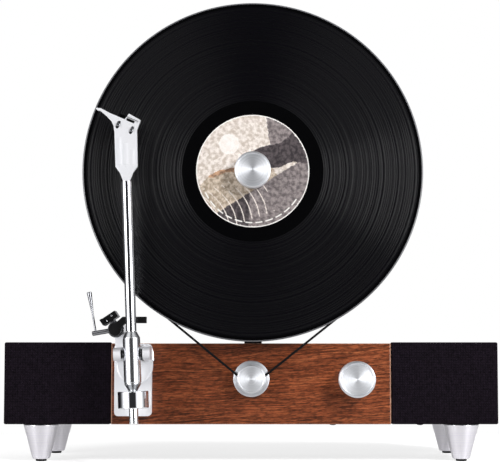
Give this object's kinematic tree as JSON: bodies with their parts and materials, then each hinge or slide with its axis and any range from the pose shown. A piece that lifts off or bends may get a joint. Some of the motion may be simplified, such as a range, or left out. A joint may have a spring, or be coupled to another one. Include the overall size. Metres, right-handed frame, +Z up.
{
  "type": "vertical record player",
  "caption": "Upright belt-drive record player: an upright record and tonearm on a low walnut cabinet with built-in speakers, volume knob and cone feet.",
  "frame": {"origin": "centre of the footprint, on the surface that the foot pads stand on", "axes": "+X to the viewer's right along the cabinet, +Y away from the viewer, +Z up; the record faces -Y"},
  "size_m": [0.438, 0.1722, 0.4081],
  "materials": {
    "walnut": "satin walnut veneer, reddish brown, grain running across",
    "black_board": "painted black board",
    "cloth": "woven black speaker cloth",
    "spun_aluminium": "spun, with bright chamfers",
    "cast_aluminium": "satin silver",
    "black_aluminium": "black anodised",
    "chrome": "polished",
    "steel": "turned",
    "black_metal": "black powder coat",
    "black_plastic": "moulded, satin",
    "vinyl": "pressed vinyl with fine grooves",
    "paper": "printed paper",
    "cone_paper": "pulp paper",
    "rubber": "matt",
    "circuit": "green solder mask"
  },
  "bodies": {
    "cabinet": {"top_board": "walnut", "bottom_board": "walnut", "left_end_panel": "walnut", "right_end_panel": "walnut", "front_panel": "walnut", "front_baffle": "black_board", "rear_panel": "black_board", "left_grille_panel": "black_plastic", "right_grille_panel": "black_plastic", "left_grille_cloth": "cloth", "right_grille_cloth": "cloth", "left_driver_frame": "black_metal", "right_driver_frame": "black_metal", "left_speaker_cone": "cone_paper", "right_speaker_cone": "cone_paper", "front_left_foot": "spun_aluminium", "front_right_foot": "spun_aluminium", "rear_left_foot": "spun_aluminium", "rear_right_foot": "spun_aluminium", "front_left_foot_pad": "rubber", "front_right_foot_pad": "rubber", "rear_left_foot_pad": "rubber", "rear_right_foot_pad": "rubber", "column": "black_metal", "bearing_housing": "steel", "motor": "steel", "drive_belt": "rubber", "volume_potentiometer": "steel", "power_inlet": "black_plastic", "amplifier_board": "circuit", "button_board": "circuit", "tonearm_base": "cast_aluminium", "tonearm_base_screw": "steel", "cue_housing": "cast_aluminium", "arm_rest_clip": "black_plastic"},
    "platter": {"spindle": "steel", "platter": "black_aluminium", "slip_mat": "rubber", "record": "vinyl", "record_label": "paper"},
    "clamp": {"record_clamp": "spun_aluminium"},
    "pulley": {"drive_pulley": "spun_aluminium", "motor_shaft": "steel"},
    "volume": {"volume_knob": "spun_aluminium"},
    "power_button": {"power_button": "black_plastic"},
    "source_button": {"source_button": "black_plastic"},
    "yoke": {"swing_yoke": "cast_aluminium", "left_tilt_bearing": "steel", "right_tilt_bearing": "steel"},
    "arm": {"tilt_axle": "steel", "pivot_block": "chrome", "arm_tube": "chrome", "headshell": "cast_aluminium", "left_cartridge_screw": "steel", "right_cartridge_screw": "steel", "cartridge": "black_plastic", "stylus": "black_plastic"},
    "counterweight": {"counterweight": "chrome"},
    "cue_lift": {"cue_lift": "black_metal"},
    "cue_lever": {"cue_lever": "chrome"}
  },
  "joints": [
    {"name": "platter_spin", "type": "hinge", "parent": "cabinet", "child": "platter", "pos_m": [0.0015, -0.0409, 0.2574], "axis": [0, 1, 0], "continuous": true},
    {"name": "pulley_spin", "type": "hinge", "parent": "cabinet", "child": "pulley", "pos_m": [0.0003, -0.0409, 0.074], "axis": [0, 1, 0], "continuous": true},
    {"name": "clamp_lift", "type": "slide", "parent": "platter", "child": "clamp", "axis": [0, -1, 0], "range_m": [0, 0.035]},
    {"name": "volume_turn", "type": "hinge", "parent": "cabinet", "child": "volume", "pos_m": [0.0933, -0.0409, 0.0737], "axis": [0, 1, 0], "range_deg": [-150, 150]},
    {"name": "power_press", "type": "slide", "parent": "cabinet", "child": "power_button", "axis": [0, 0, 1], "range_m": [0, 0.001], "stiffness_N_per_m": 300},
    {"name": "source_press", "type": "slide", "parent": "cabinet", "child": "source_button", "axis": [0, 0, 1], "range_m": [0, 0.001], "stiffness_N_per_m": 300},
    {"name": "arm_swing", "type": "hinge", "parent": "cabinet", "child": "yoke", "pos_m": [-0.1026, -0.0409, 0.0962], "axis": [0, 1, 0], "range_deg": [-31.5, 18]},
    {"name": "arm_lift", "type": "hinge", "parent": "yoke", "child": "arm", "pos_m": [-0.1026, -0.0729, 0.0962], "axis": [0.9993, 0, 0.0366], "range_deg": [0, 5]},
    {"name": "counterweight_slide", "type": "slide", "parent": "arm", "child": "counterweight", "axis": [0.0366, 0, -0.9993], "range_m": [0, 0.01]},
    {"name": "cue_lift_slide", "type": "slide", "parent": "cabinet", "child": "cue_lift", "axis": [0, -1, 0], "range_m": [0, 0.00233]},
    {"name": "cue_lever_turn", "type": "hinge", "parent": "cabinet", "child": "cue_lever", "pos_m": [-0.118, -0.0519, 0.1175], "axis": [0.9857, 0, 0.1685], "range_deg": [0, 75]}
  ],
  "couplings": [
    {"joint": "pulley_spin", "follows": "platter_spin", "ratio": 27.407},
    {"joint": "cue_lift_slide", "follows": "arm_lift", "m_per_rad": 0.0266},
    {"joint": "cue_lever_turn", "follows": "arm_lift", "ratio": 15}
  ]
}
